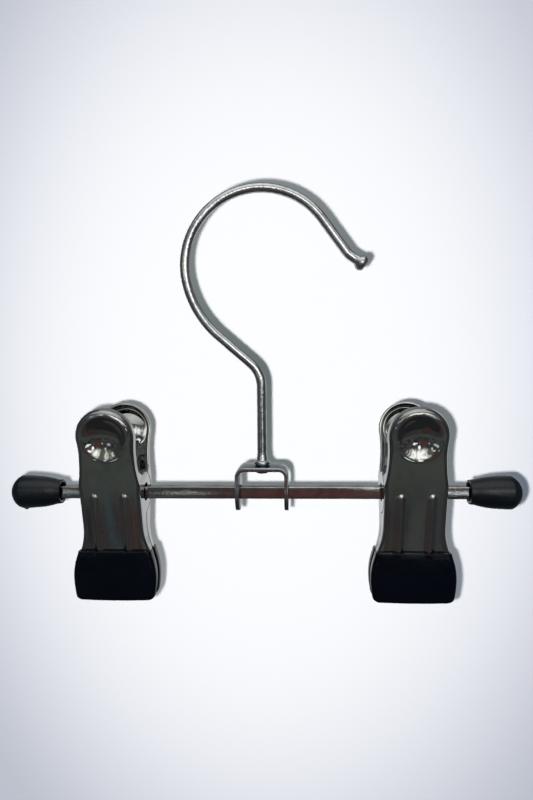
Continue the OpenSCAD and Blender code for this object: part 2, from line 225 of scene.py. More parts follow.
# Painted reflection: metal sees a glow of tones by height with upright streaks, not the paper as it
# is lit.
height = remap(tree, part_of(tree, spot, "Z"), *MIRRORED_SPAN)
tones = colour_steps(tree, height, PAPER_MIRRORED)
upright = vector(tree, "MULTIPLY", spot, STREAKS_PER_M)
streaks = noise(tree, upright, scale=1.0, detail=2.5, roughness=0.55)
streaks = remap(tree, streaks, *STREAK_CONTRAST, *STREAK_RANGE)
painted_reflection = glowing(tree, vector(tree, "MULTIPLY", tones, streaks))
lit_and_painted = either(tree, put(tree, "LightPath").outputs["Is Glossy Ray"], lit_and_painted, painted_reflection)
clear = put(tree, "BsdfTransparent").outputs[0]
show(tree, either(tree, put(tree, "NewGeometry").outputs["Backfacing"], lit_and_painted, clear))
backdrop = flat_card("backdrop", [(x * BACKDROP_HALF, 0, z * BACKDROP_HALF) for x, z in CORNERS],
                     paper, (BACKDROP_MIDDLE[0], BACKDROP_Y, BACKDROP_MIDDLE[1]))

# Light: a lamp beside the camera for the paper alone, a soft panel overhead and
# one at the side for the hanger alone, and a pale room that metal sees dimmer.
WALL_LAMP_W, WALL_LAMP_R = 13.6, 0.0012
WALL_LAMP_TINT = (1.0, 0.975, 0.98)
ROOM_LIGHT = (0.46, 0.47, 0.49, 1)
ROOM_SEEN = (0.62, 0.64, 0.68, 1)
# Height of a direction from straight down to straight up, and what metal mirrors there
ROOM_MIRRORED = (
    (0.0, (0.03, 0.031, 0.034)), (0.35, (0.04, 0.042, 0.045)), (0.5, (0.055, 0.058, 0.064)),
    (0.64, (0.11, 0.113, 0.12)), (1.0, (0.3, 0.305, 0.32)))
# Name, watts, width and height, place and the point it faces
PANELS = (("ceiling_panel", 0.7, (0.36, 0.26), (-0.03, -0.20, 0.36), (0, 0, -0.05)),
          ("side_panel", 0.16, (0.10, 0.22), (0.40, -0.06, 0.02), (0, 0, -0.06)))


def mixed(tree, share, first, second):
    """The first colour where the share is zero and the second where it is one."""
    return put(tree, "Mix", {0: share, 6: first, 7: second}, data_type="RGBA").outputs[2]


paper_only = bpy.data.collections.new("paper_only")
paper_only.objects.link(backdrop)
all_but_paper = bpy.data.collections.new("all_but_paper")
all_but_paper.objects.link(backdrop)
all_but_paper.collection_objects[0].light_linking.link_state = "EXCLUDE"

wall = bpy.data.lights.new("wall_lamp", "POINT")
wall.energy = WALL_LAMP_W
wall.color = WALL_LAMP_TINT
wall.shadow_soft_size = WALL_LAMP_R
wall_lamp = add("wall_lamp", wall)
wall_lamp.location = WALL_LAMP_AT
wall_lamp.light_linking.receiver_collection = paper_only

for name, watts, size, hung_at, target in PANELS:
    panel = bpy.data.lights.new(name, "AREA")
    panel.energy = watts
    panel.shape = "RECTANGLE"
    panel.size, panel.size_y = size
    lamp = add(name, panel)
    lamp.location = hung_at
    aim = Vector(target) - Vector(hung_at)
    lamp.rotation_euler = aim.to_track_quat("-Z", "Y").to_euler()
    lamp.visible_camera = False
    lamp.visible_glossy = False
    lamp.light_linking.receiver_collection = all_but_paper

room = bpy.data.worlds.new("pale_room")
room.use_nodes = True
scene.world = room
tree = room.node_tree
tree.nodes.clear()
towards = put(tree, "TexCoord").outputs["Generated"]
mirrored = colour_steps(tree, remap(tree, part_of(tree, towards, "Z"), -1.0, 1.0), ROOM_MIRRORED)
colour = mixed(tree, put(tree, "LightPath").outputs["Is Glossy Ray"], ROOM_LIGHT, mirrored)
colour = mixed(tree, seen_directly(tree), colour, ROOM_SEEN)
background = put(tree, "Background", {"Color": colour}).outputs[0]
put(tree, "OutputWorld", {"Surface": background})

# What the polished faces mirror: glowing cards, no lamps and all hidden from the camera, that paint
# the metal's reflections and highlights: dim hangings in upright brown, olive and teal folds in
# front, a patchy bright room over them, a warm spot low down, a dim card at each side, and a
# ceiling.
HANGING_Y, HANGING_MIDDLE, HANGING_HALF = -0.5, (0.0, -0.5), (1.0, 0.6)
FOLD_TONES = (
    (0.0, (0.034, 0.044, 0.052)), (0.14, (0.03, 0.039, 0.046)), (0.24, (0.066, 0.064, 0.068)),
    (0.33, (0.085, 0.065, 0.06)), (0.40, (0.05, 0.062, 0.07)), (0.50, (0.085, 0.12, 0.13)),
    (0.57, (0.075, 0.098, 0.108)), (0.63, (0.025, 0.03, 0.035)), (0.70, (0.118, 0.07, 0.06)),
    (0.90, (0.112, 0.068, 0.058)), (1.0, (0.034, 0.044, 0.052)))
FOLDS_PER_M, FOLD_SWAY, FOLD_START, SWAY_STRETCH = 14, 0.5, 0.64, (10, 1, 3)
CLUTTER_TONES = (
    (0.0, (0.02, 0.022, 0.026)), (0.4, (0.06, 0.062, 0.064)), (0.6, (0.10, 0.099, 0.097)),
    (1.0, (0.17, 0.173, 0.16)))
CLUTTER_CONTRAST = (0.3, 0.7)
MIDDLE_TONE = (0.105, 0.117, 0.108, 1)
DARK_FOOT = (0.026, 0.026, 0.028, 1)
# Heights between which the hangings change: dark foot to folds, folds to a plain
# middle, and that to the clutter over it
FOOT_FADE, FOLDS_FADE, CLUTTER_FADE = (-0.95, -0.7), (-0.53, -0.46), (-0.40, -0.34)
# Glowing patches on the hangings that paint highlights and tinted reflections on the shank, bar,
# caps and plates: middle and half size across and up, and colour
GLOW_PATCHES = (
    ((-0.2, -0.2), (0.13, 0.08), (0.08, 0.098, 0.104)),
    ((0.012, -0.2), (0.13, 0.10), (0.155, 0.074, 0.068)),
    ((0.117, -0.078), (0.042, 0.075), (3.0, 2.95, 2.85)),
    ((-0.19, -0.06), (0.028, 0.055), (2.0, 2.0, 1.9)),
    ((-0.116, -0.197), (0.011, 0.024), (2.4, 2.4, 2.3)),
    ((0.112, -0.2), (0.012, 0.02), (0.45, 0.46, 0.45)),
    ((0.186, -0.193), (0.026, 0.02), (2.5, 2.6, 2.65)),
    ((-0.29, -0.183), (0.07, 0.045), (0.95, 1.05, 1.08)),
    ((0.25, -0.183), (0.06, 0.045), (1.9, 2.15, 2.2)),
    ((0.136, -0.6), (0.018, 0.17), (0.074, 0.076, 0.07)),
    ((0.168, -0.6), (0.02, 0.17), (0.098, 0.102, 0.098)),
    ((0.198, -0.6), (0.016, 0.17), (0.074, 0.09, 0.094)))
# The share of an oval patch's half size that it fills before it fades
OVAL_CORE = 0.45
# A dim warm glowing card low in front paints a reddish reflection.
LOW_TONE, LOW_MIDDLE, LOW_HALF = (0.08, 0.05, 0.047, 1), (0.012, -0.178, -0.28), (0.075, 0.085)
BRIGHT_Y, BRIGHT_MIDDLE, BRIGHT_HALF = -0.45, (0.0, 0.085), (0.7, 0.20)
BRIGHT_STRETCH, BRIGHT_STRENGTH = (9, 1, 5), 2.4
# How much the glowing room's painted brightness grows to the right
BRIGHT_LEAN = 0.22
# Lighter parts of the glow, which paint brighter highlights: middle and half size across and up,
# and how much lighter
BRIGHT_PARTS = (((0.05, 0.05), (0.14, 0.14), 0.12), ((-0.02, 0.13), (0.09, 0.06), 0.22))
BRIGHT_TONES = (
    (0.0, (0.03, 0.031, 0.032)), (0.45, (0.12, 0.125, 0.115)), (0.58, (0.6, 0.6, 0.55)),
    (0.7, (1.0, 0.99, 0.95)))
# The dim glowing side cards paint dark reflections along the round wires' edges
SIDE_X, SIDE_Y, SIDE_Z = 0.16, (-0.03, 0.11), (-0.4, 0.2)
SIDE_TONE = (0.075, 0.079, 0.084, 1)
# The glowing ceiling card paints broad highlights on rims and upper faces.
CEILING_MIDDLE, CEILING_HALF = (0, -0.26, 0.42), (0.6, 0.32)
CEILING_TONES = ((0.0, (1.2, 1.2, 1.17)), (0.5, (0.85, 0.86, 0.85)), (1.0, (0.35, 0.355, 0.36)))
SIDES = (("left", -1), ("right", 1))


def mirrored_only(name, corners, material):
    """A flat card that only metal and gloss can see."""
    card = flat_card(name, corners, material)
    for ray in ("camera", "diffuse", "shadow", "transmission", "volume_scatter"):
        setattr(card, "visible_" + ray, False)


def upright_corners(middle, half, y):
    return [(middle[0] + x * half[0], y, middle[1] + z * half[1]) for x, z in CORNERS]


def level_corners(middle, half):
    return [(middle[0] + x * half[0], middle[1] + y * half[1], middle[2]) for x, y in CORNERS]


def above(tree, spot, low_high):
    """Zero below the lower height and one above the upper one."""
    return remap(tree, part_of(tree, spot, "Z"), *low_high, blend="SMOOTHSTEP")


def soft_oval(tree, spot, middle, half):
    """One in the inner part of an oval and zero outside it. A half size of 0 has no limit."""
    off = vector(tree, "SUBTRACT", spot, middle)
    off = vector(tree, "MULTIPLY", off, [1 / h if h else 0 for h in half])
    return remap(tree, vector(tree, "LENGTH", off), OVAL_CORE, 1.0, 1.0, 0.0, "SMOOTHSTEP")


def upright_oval(tree, spot, middle, half, y):
    return soft_oval(tree, spot, (middle[0], y, middle[1]), (half[0], 0, half[1]))


def fading(tree, inside, glow):
    """Shows a glow inside a soft mask, and nothing outside it."""
    show(tree, either(tree, inside, put(tree, "BsdfTransparent").outputs[0], glow))


hanging_glow, tree = bare_material("dim_hanging")
spot = on_piece(tree)
sway = noise(tree, vector(tree, "MULTIPLY", spot, SWAY_STRETCH), scale=1.5)
sway = calc(tree, "MULTIPLY_ADD", sway, FOLD_SWAY, FOLD_START)
folds = calc(tree, "MULTIPLY_ADD", part_of(tree, spot, "X"), FOLDS_PER_M, sway)
tones = colour_steps(tree, calc(tree, "FRACT", folds), FOLD_TONES)
tones = mixed(tree, above(tree, spot, FOOT_FADE), DARK_FOOT, tones)
tones = mixed(tree, above(tree, spot, FOLDS_FADE), tones, MIDDLE_TONE)
stirred = noise(tree, spot, scale=8, detail=3, roughness=0.6, distortion=0.7)
clutter = colour_steps(tree, remap(tree, stirred, *CLUTTER_CONTRAST), CLUTTER_TONES)
tones = mixed(tree, above(tree, spot, CLUTTER_FADE), tones, clutter)
for middle, half, tone in GLOW_PATCHES:
    tones = mixed(tree, upright_oval(tree, spot, middle, half, HANGING_Y), tones, (*tone, 1))
show(tree, glowing(tree, tones))
mirrored_only("dim_hanging", upright_corners(HANGING_MIDDLE, HANGING_HALF, HANGING_Y), hanging_glow)

side_card, tree = bare_material("dim_side")
show(tree, glowing(tree, SIDE_TONE))
for side, sign in SIDES:
    corners = [(sign * SIDE_X, SIDE_Y[y > 0], SIDE_Z[z > 0]) for y, z in CORNERS]
    mirrored_only(f"dim_side_{side}", corners, side_card)

bright_room, tree = bare_material("bright_room")
spot = on_piece(tree)
stretched = vector(tree, "MULTIPLY", spot, BRIGHT_STRETCH)
share = noise(tree, stretched, scale=1.3, distortion=0.5)
share = calc(tree, "MULTIPLY_ADD", part_of(tree, spot, "X"), BRIGHT_LEAN, share)
for middle, half, gain in BRIGHT_PARTS:
    lighter = upright_oval(tree, spot, middle, half, BRIGHT_Y)
    share = calc(tree, "MULTIPLY_ADD", lighter, gain, share)
glow = glowing(tree, colour_steps(tree, share, BRIGHT_TONES), BRIGHT_STRENGTH)
fading(tree, upright_oval(tree, spot, BRIGHT_MIDDLE, BRIGHT_HALF, BRIGHT_Y), glow)
mirrored_only("bright_room", upright_corners(BRIGHT_MIDDLE, BRIGHT_HALF, BRIGHT_Y), bright_room)

warm_low, tree = bare_material("warm_low")
spot = on_piece(tree)
fading(tree, soft_oval(tree, spot, LOW_MIDDLE, (*LOW_HALF, 0)), glowing(tree, LOW_TONE))
mirrored_only("warm_low", level_corners(LOW_MIDDLE, LOW_HALF), warm_low)

pale_ceiling, tree = bare_material("pale_ceiling")
spot = on_piece(tree)
share = remap(tree, vector(tree, "DISTANCE", spot, CEILING_MIDDLE), 0.0, CEILING_HALF[0])
show(tree, glowing(tree, colour_steps(tree, share, CEILING_TONES)))
mirrored_only("pale_ceiling", level_corners(CEILING_MIDDLE, CEILING_HALF), pale_ceiling)

# Hook: one length of bright plated steel wire, bent over the rail and kicked
# out at its open end. Its button, collar and lower head are upset from the wire.
MM = 0.001
WIRE_R = 1.4
# Bends from the tip down: centre, radius, first and last angle, and steps
KICK = (28.779, -14.276), 5, 236, 216, 8
OVER_RAIL = (0, -20.6), 22, 36, 192, 110
BACK = (6.358, -19.249), 28.5, 192, 229, 40
HEEL = (-9.0, -55.586), 9, 49, 0, 24
TIP, TIP_HEADING = Vector((28.968, 0, -20.434)), radians(-34)
# Distance along the wire's end beyond the button's middle, and radius there
BUTTON = (
    (1.42, 0), (1.40, 0.6), (1.33, 1.15), (1.18, 1.6), (0.92, 1.95), (0.5, 2.2), (0.1, 2.3),
    (-0.3, 2.27), (-0.7, 2.12), (-1.0, 1.9), (-1.25, 1.68), (-1.5, 1.53), (-1.85, 1.43),
    (-2.2, WIRE_R))
# Height and radius down the shank
SHANK = (
    (-60, WIRE_R), (-66, WIRE_R), (-71, WIRE_R), (-74.6, WIRE_R), (-75.3, 1.43), (-75.9, 1.5),
    (-76.4, 1.58), (-76.8, 1.62), (-77.1, 1.66), (-77.25, 1.78), (-77.33, 1.95), (-77.47, 2.17),
    (-77.68, 2.33), (-77.95, 2.4), (-78.22, 2.34), (-78.45, 2.15), (-78.6, 1.9), (-78.65, 1.7),
    (-78.65, 1.32), (-78.67, 1.2), (-79.93, 1.2), (-79.95, 1.3), (-79.95, 1.8), (-79.98, 1.93),
    (-80.06, 2.0), (-80.35, 2.0), (-80.6, 1.9), (-80.85, 1.7), (-81.03, 1.38), (-81.12, 0.9),
    (-81.15, 0.4), (-81.15, 0))
HOOK_SIDES = 48
# How smears show on all metals, the depth that a scratch or wave of 1 has, and the
# tint of a metal's edges
SMEAR_CONTRAST = (0.42, 0.72)
SCRATCH_DEPTH, WAVE_DEPTH = 0.00002, 0.0002
EDGE_TINT = (0.32, 0.33, 0.34, 1)


def mesh_from(name, skin):
    made = bpy.data.meshes.new(name)
    skin.to_mesh(made)
    skin.free()
    return made


def loft(name, loops):
    """A closed skin through loops of points in mm. A loop of one point is a pole."""
    skin = bmesh.new()
    rows = [[skin.verts.new(Vector(p) * MM) for p in loop] for loop in loops]
    for a, b in zip(rows, rows[1:]):
        for k in range(max(len(a), len(b))):
            corners = [a[k % len(a)], a[(k + 1) % len(a)], b[(k + 1) % len(b)], b[k % len(b)]]
            skin.faces.new(list(dict.fromkeys(corners)))
    for end in (rows[0], rows[-1]):
        if len(end) > 2:
            skin.faces.new(end)
    bmesh.ops.recalc_face_normals(skin, faces=skin.faces)
    return mesh_from(name, skin)


def place(name, mesh, material, body, nodes, crease=38):
    """Puts a finished mesh in the scene as a piece that rides on a body."""
    mesh.shade_smooth()
    mesh.set_sharp_from_angle(angle=radians(crease))
    mesh.materials.clear()
    mesh.materials.append(material)
    made = add(name, mesh)
    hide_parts(*nodes)
    if body:
        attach(made, body)
    return made


def circle(radius, sides):
    turns = [tau * k / sides for k in range(sides)]
    return [(radius * cos(a), radius * sin(a)) for a in turns]


def ring(point, heading, radius, across, sides):
    """Points round a wire that runs along heading, starting beside it along across."""
    if radius == 0:
        return [point]
    beside = (across - heading * across.dot(heading)).normalized()
    over = heading.cross(beside)
    return [point + beside * c + over * s for c, s in circle(radius, sides)]


def bend(centre, radius, start, stop, count):
    """Stations of an upright bend: the point, its heading and the wire's radius."""
    made = []
    sense = 1 if stop > start else -1
    for i in range(count + 1):
        a = radians(start + (stop - start) * i / count)
        out = Vector((cos(a), 0, sin(a)))
        point = Vector((centre[0], 0, centre[1])) + out * radius
        made.append((point, Vector((-out.z, 0, out.x)) * sense, WIRE_R))
    return made


def surface_marks():
    """Shared by all metals: soft smears, fine scratches along a piece, and a faint waviness."""
    group = bpy.data.node_groups.new("surface_marks", "ShaderNodeTree")
    taken = ("Smear Scale", "Scratch Scale", "Wave Scale", "Stretch")
    for socket in (*taken, "Smear", "Scratches", "Waves"):
        kind = "NodeSocketVector" if socket == "Stretch" else "NodeSocketFloat"
        way = "INPUT" if socket in taken else "OUTPUT"
        group.interface.new_socket(socket, in_out=way, socket_type=kind)
    given = group.nodes.new("NodeGroupInput").outputs
    result = group.nodes.new("NodeGroupOutput")
    spot = on_piece(group)
    smear = noise(group, spot, given["Smear Scale"], detail=4, roughness=0.62, distortion=0.8)
    drawn = vector(group, "MULTIPLY", spot, given["Stretch"])
    marks = (("Smear", remap(group, smear, *SMEAR_CONTRAST, blend="SMOOTHSTEP")),
             ("Scratches", noise(group, drawn, given["Scratch Scale"], detail=6, roughness=0.75)),
             ("Waves", noise(group, spot, given["Wave Scale"], detail=1.5, roughness=0.4)))
    for socket, source in marks:
        group.links.new(source, result.inputs[socket])
    return group


def bumped(tree, height, distance, **others):
    """A normal that follows a height. Others are a strength and the normal under it."""
    return put(tree, "Bump", {"Height": height, "Distance": distance, **others}).outputs[0]


def metal(name, clean, dull, rough, smear, scratch, wave, stretch, edge=EDGE_TINT):
    """A bright metal whose smears are duller and whose scratches and waves bend its gloss.
    The smears have a scale, and scratches and waves a scale and a depth each."""
    made, tree = bare_material(name)
    marks = put(tree, "Group", {"Smear Scale": smear, "Scratch Scale": scratch[0],
                                "Wave Scale": wave[0], "Stretch": stretch},
                node_tree=METAL_MARKS).outputs
    grain = bumped(tree, marks["Scratches"], scratch[1] * SCRATCH_DEPTH)
    swell = bumped(tree, marks["Waves"], wave[1] * WAVE_DEPTH, Normal=grain)
    shader = put(tree, "BsdfPrincipled", {
        "Base Color": mixed(tree, marks["Smear"], clean, dull), "Metallic": 1.0,
        "Roughness": remap(tree, marks["Smear"], 0.0, 1.0, *rough),
        "Specular Tint": edge, "Normal": swell})
    show(tree, shader.outputs[0])
    return made


METAL_MARKS = surface_marks()
bright_wire = metal("bright_wire", clean=(0.63, 0.64, 0.655, 1), dull=(0.47, 0.48, 0.495, 1),
                    rough=(0.03, 0.1), smear=210, scratch=(1500, 0.9), wave=(1300, 0.3),
                    stretch=(1, 1, 0.7))

heading = Vector((cos(TIP_HEADING), 0, sin(TIP_HEADING)))
wire = [(TIP + heading * along, -heading, radius) for along, radius in BUTTON]
wire += bend(*KICK) + bend(*OVER_RAIL) + bend(*BACK)[1:] + bend(*HEEL)
wire += [(Vector((0, 0, height)), Vector((0, 0, -1)), radius) for height, radius in SHANK]
hook = loft("hook", [ring(p, h, r, Vector((0, 1, 0)), HOOK_SIDES) for p, h, r in wire])
place("hook", hook, bright_wire, "hook", ["hook"])

# Yoke: a plated steel strap bent to an arch, its leg ends rounded off. It is
# punched for the hook's spigot at the top and for the square bar in both legs.
BAR_Z = -86.6
STRAP_HALF, STRAP_T, STRAP_EDGE = 5.4, 1.2, 0.28
YOKE_HALF, YOKE_RISE, YOKE_BEND = 7.7, 7.9, 2.8
TOP_STEPS, BEND_STEPS, LEG_STEPS, EDGE_STEPS = 12, 14, 8, 4
# Angles at which the round end of a leg is drawn
LEG_END_TURNS = (8, 16, 24, 32, 40, 48, 55, 62, 68, 74, 79, 83, 86, 88)
BAR_SIDE, BAR_EDGE, BAR_GAP = 3.6, 0.3, 0.02
# The bar's broken end edge, how far its end parts reach, and steps along it and round a corner
BAR_END_EDGE, BAR_END_PART, BAR_STEPS, BAR_CORNER_STEPS = 0.25, 1, 48, 5
SPIGOT_HOLE_R, SPIGOT_CUT, BAR_CUT = 1.25, (4, 10), (-9, 9)


def round_corners(box, radius, steps):
    """Loop of points round a rectangle (x0, y0, x1, y1) with quarter-round corners."""
    x0, y0, x1, y1 = box
    radius = min(radius, 0.499 * (x1 - x0), 0.499 * (y1 - y0))
    made = []
    for cx, cy, start in ((x1 - radius, y1 - radius, 0), (x0 + radius, y1 - radius, 90),
                          (x0 + radius, y0 + radius, 180), (x1 - radius, y0 + radius, 270)):
        for i in range(steps + 1):
            a = radians(start + 90 * i / steps)
            made.append((cx + radius * cos(a), cy + radius * sin(a)))
    return made


def square_bar(name, x0, x1, grow):
    """The bar's rounded square as a solid along X, with its end edges broken."""
    long = x1 - x0 - 2 * BAR_END_PART
    steps = [(x0, BAR_END_EDGE), (x0 + BAR_END_EDGE, 0)]
    steps += [(x0 + BAR_END_PART + long * i / BAR_STEPS, 0) for i in range(BAR_STEPS + 1)]
    steps += [(x1 - BAR_END_EDGE, 0), (x1, BAR_END_EDGE)]
    loops = []
    for x, inset in steps:
        half = BAR_SIDE / 2 + grow - inset
        section = round_corners((-half, -half, half, half), BAR_EDGE + grow, BAR_CORNER_STEPS)
        loops.append([(x, a, BAR_Z + b) for a, b in section])
    return loft(name, loops)


def carve(name, mesh, *cuts):
    """Applies boolean steps, each a mesh and what is done with it, and returns plain mesh."""
    solid = add(name, mesh)
    tools = []
    for tool_mesh, operation in cuts:
        tools.append(add(name + "_tool", tool_mesh))
        step = solid.modifiers.new("step", "BOOLEAN")
        step.operation = operation
        step.solver = "EXACT"
        step.object = tools[-1]
    bpy.context.view_layer.update()
    shown = solid.evaluated_get(bpy.context.evaluated_depsgraph_get())
    made = bpy.data.meshes.new_from_object(shown)
    made.name = name
    for spent in (solid, *tools):
        spent_mesh = spent.data
        bpy.data.objects.remove(spent)
        bpy.data.meshes.remove(spent_mesh)
    return made


def rod(radius, axis, ends, sides=64):
    """A plain round cutter along X or Z between two places."""
    along_x = axis == "X"
    return loft("cutter", [[(at, a, b) if along_x else (a, b, at) for a, b in circle(radius, sides)]
                           for at in ends])


bright_strap = metal("bright_strap", clean=(0.40, 0.44, 0.48, 1), dull=(0.32, 0.345, 0.375, 1),
                     rough=(0.10, 0.24), smear=260, scratch=(1500, 0.5), wave=(300, 0.25),
                     stretch=(1, 0.12, 1))

# Half of the strap's middle line, from the top to a leg's end: place and outward direction
corner_x, corner_z = YOKE_HALF - YOKE_BEND, YOKE_RISE - YOKE_BEND
leg_x, top_z = YOKE_HALF - STRAP_T / 2, YOKE_RISE - STRAP_T / 2
half_arch = [(Vector((corner_x * i / TOP_STEPS, 0, top_z)), Vector((0, 0, 1)))
             for i in range(TOP_STEPS)]
for i in range(BEND_STEPS + 1):
    a = pi / 2 * (1 - i / BEND_STEPS)
    out = Vector((cos(a), 0, sin(a)))
    half_arch.append((Vector((corner_x, 0, corner_z)) + out * (YOKE_BEND - STRAP_T / 2), out))
leg_heights = [corner_z * (1 - i / LEG_STEPS) for i in range(1, LEG_STEPS + 1)]
leg_heights += [-STRAP_HALF * sin(radians(a)) for a in LEG_END_TURNS]
half_arch += [(Vector((leg_x, 0, z)), Vector((1, 0, 0))) for z in leg_heights]
arch = [(Vector((-p.x, 0, p.z)), Vector((-n.x, 0, n.z))) for p, n in reversed(half_arch[1:])]
loops = []
for p, n in arch + half_arch:
    half = STRAP_HALF if p.z >= 0 else sqrt(STRAP_HALF ** 2 - p.z ** 2)
    section = round_corners((-STRAP_T / 2, -half, STRAP_T / 2, half), STRAP_EDGE, EDGE_STEPS)
    loops.append([p + n * t + Vector((0, w, BAR_Z)) for t, w in section])
yoke = carve("yoke", loft("yoke", loops),
             (square_bar("bar_hole", *BAR_CUT, BAR_GAP), "DIFFERENCE"),
             (rod(SPIGOT_HOLE_R, "Z", [BAR_Z + at for at in SPIGOT_CUT]), "DIFFERENCE"))
place("yoke", yoke, bright_strap, "frame", ["yoke"])

# Bar: plated square steel rod with softened edges, pressed through the yoke.
# Drawing leaves fine lines along it, and the clips rub it as they slide.
BAR_HALF = 71.5

bright_bar = metal("bright_bar", clean=(0.41, 0.40, 0.395, 1), dull=(0.30, 0.295, 0.29, 1),
                   rough=(0.025, 0.075), smear=240, scratch=(2600, 0.8), wave=(700, 0.07),
                   stretch=(0.05, 1, 1))
bar = square_bar("bar", -BAR_HALF, BAR_HALF, 0)
place("bar", bar, bright_bar, "frame", ["bar"])

# Springs: round spring wire wound about the bar, one leg behind each head of
# the clip. A spring is drawn as two halves, each from the coil's middle out to one leg.
CLIP_X = 43.6
COIL_R, COIL_PITCH, COIL_START, COIL_TURN = 3.9, 1.8, 204, 1572
STEPS_PER_TURN, SPRING_LEG_STEPS, SPRING_SIDES = 26, 8, 16
SPRING_WIRE_R, LEG_END = 0.55, (-8.17, 8.76)
# Distance before the wire's end, and radius there
WIRE_END = ((0.2, SPRING_WIRE_R), (0.06, 0.48), (0, 0.32), (0, 0))
# Each face of a clip, which way it looks along Y, and its turn about the upright
FACES = (("front", -1, 0), ("back", 1, pi))

spring_wire = metal("spring_wire", clean=(0.42, 0.42, 0.41, 1), dull=(0.30, 0.29, 0.27, 1),
                    rough=(0.22, 0.4), smear=500, scratch=(1800, 0.6), wave=(900, 0.15),
                    stretch=(1, 0.4, 0.4))


def half_spring(name, looks, centre):
    """From the middle of the coil out to the end of one leg."""
    count = round(COIL_TURN / 720 * STEPS_PER_TURN)
    leg_x = COIL_PITCH * COIL_TURN / 720
    line = []
    for i in range(count + 1):
        a = radians(COIL_START + COIL_TURN * (0.5 - 0.5 * i / count))
        line.append(Vector((-leg_x * i / count, COIL_R * cos(a), COIL_R * sin(a))))
    foot, end = line[-1], Vector((-leg_x, *LEG_END))
    line += [foot.lerp(end, (i + 1) / SPRING_LEG_STEPS) for i in range(SPRING_LEG_STEPS)]
    stations = []
    for before, p, after in zip(line[:1] + line, line, line[1:] + line[-1:]):
        stations.append((p, (after - before).normalized(), SPRING_WIRE_R))
    last, heading, _ = stations.pop()
    stations += [(last - heading * back, heading, radius) for back, radius in WIRE_END]
    flip = Matrix.Identity(3) if looks < 0 else Matrix.Diagonal((-1, -1, 1))
    return loft(name, [[flip @ q + centre for q in ring(p, h, r, Vector((1, 0, 0)), SPRING_SIDES)]
                       for p, h, r in stations])


for side, sign in SIDES:
    for face, looks, _ in FACES:
        name = f"{side}_spring_{face}"
        centre = Vector((sign * CLIP_X, 0, BAR_Z))
        leg = place(name, half_spring(name, looks, centre), spring_wire, None,
                    [side + "_spring"])
        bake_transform(leg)

# Jaws: each lever is pressed from one blank of polished steel sheet: folded
# edges, a thumb dish, two ribs, an outer ear that is part of the fold and an
# inner ear set back beside it. The bar runs through the ears' holes.
SHEET = 0.8
PLATE = 7.4
HEAD_R, HEAD_Y, RIM = 8.4, 19.2, 3.0
NECK_X, NECK_Y, NECK_R, NECK_END = 48.05, 13.39, 40, 18.19
BODY_HALF, SHOULDER_Y = 8.9, 5.188
FLARE_R, FLARE_Y, FLARE_END = 22, -8, -18
# How far along the outline is eased, and the height at which that starts and the way it takes
EASE_REACH, EASE_TOP, EASE_WAY = 1.3, 14, 4
EASE_SHIFTS = [k / 4 for k in range(-4, 5)]
# The fold's radius along the body and about the head, and the heights between them
FOLD_R, HEAD_FOLD_R, HEAD_FOLD_FROM, HEAD_FOLD_FULL = 1.5, 2.0, 10, 16
DISH_R, DISH_DEPTH, DISH_EASE = 6.3, 2.0, 0.75
DISH_BALL_R = (DISH_R ** 2 + DISH_DEPTH ** 2) / (2 * DISH_DEPTH)
DISH_REACH = 0.98 * DISH_BALL_R
RIB_X, RIB_R, RIB_PROUD, RIB_TOP, RIB_EASE = 4.35, 1.5, 0.55, 1.4, 0.35
EAR_R, EAR_CUT_R, INNER_EAR_R, EAR_HOLE_R = 5.8, 6.1, 5.2, 2.7
INNER_EAR_X, INNER_EAR_EDGE, INNER_EAR_STEPS, EAR_CUT = (-7.8, -7.0), 0.12, 40, (-14, 14)
LEAN = radians(13.5)
MEET_GAP = 0.15
# Where the flange's slope down from the rim ends, how far below the bar the flange runs
# out, and the least that is left of it
WEB_Y, WEB_Z = 5.133, 0.951
FLANGE_FADE, LEAST_FLANGE = (15.8, 17.4), 0.25
TIP_Y, TIP_BEND, TIP_HALF, TIP_END, TIP_WAY = -16.6, 1.5, 8.4, -29.6, 2
# Share of the thickness and how far the edge stands out there
EDGE_ROUND = ((0.08, 0.07), (0.25, 0.13), (0.5, 0.15), (0.75, 0.13), (0.92, 0.07))
EDGE_OUT = 0.15
# Heights of the rows of points: spacing and count, steps round the ear, or the heights
HEAD_ROWS, NECK_ROWS, EAR_ROWS, BODY_ROWS = (0.25, 29), (0.4, 14), 66, (0.5, 20)
ABOVE_EAR, BELOW_EAR, BODY_TOP = [6.3, 6.05, 5.9], [-5.9, -6.05, -6.3, -6.7], -7.2
TIP_ROWS = [-17.0, -17.4, -17.9, -18.5, -19.2, -22, -25, -28, TIP_END]
ACROSS, ROUND_FOLD, DOWN_FLANGE, ROUND_HEAD = 30, 8, 10, 76
SLOPE_STEP = 0.05


def smooth_min(a, b, ease):
    near = max(ease - abs(a - b), 0) / ease
    return min(a, b) - near * near * ease / 4


def step_between(value, low, high):
    t = min(max((value - low) / (high - low), 0), 1)
    return t * t * (3 - 2 * t)


def sharp_half_width(y):
    if y < FLARE_Y:
        down = max(y, FLARE_END) - FLARE_Y
        return BODY_HALF + FLARE_R - sqrt(FLARE_R ** 2 - down ** 2)
    if y < SHOULDER_Y:
        return BODY_HALF
    if y < NECK_END:
        return NECK_X - sqrt(NECK_R ** 2 - (y - NECK_Y) ** 2)
    return sqrt(max(HEAD_R ** 2 - (y - HEAD_Y) ** 2, 0))


def half_width(y):
    """The jaw's half width, with its shoulder eased and its tip narrowed inside the pad."""
    reach = EASE_REACH * min(max((EASE_TOP - y) / EASE_WAY, 0), 1)
    eased = sum(sharp_half_width(y + reach * s) for s in EASE_SHIFTS) / len(EASE_SHIFTS)
    return eased + (TIP_HALF - eased) * step_between(-y, -TIP_Y, -TIP_Y + TIP_WAY)


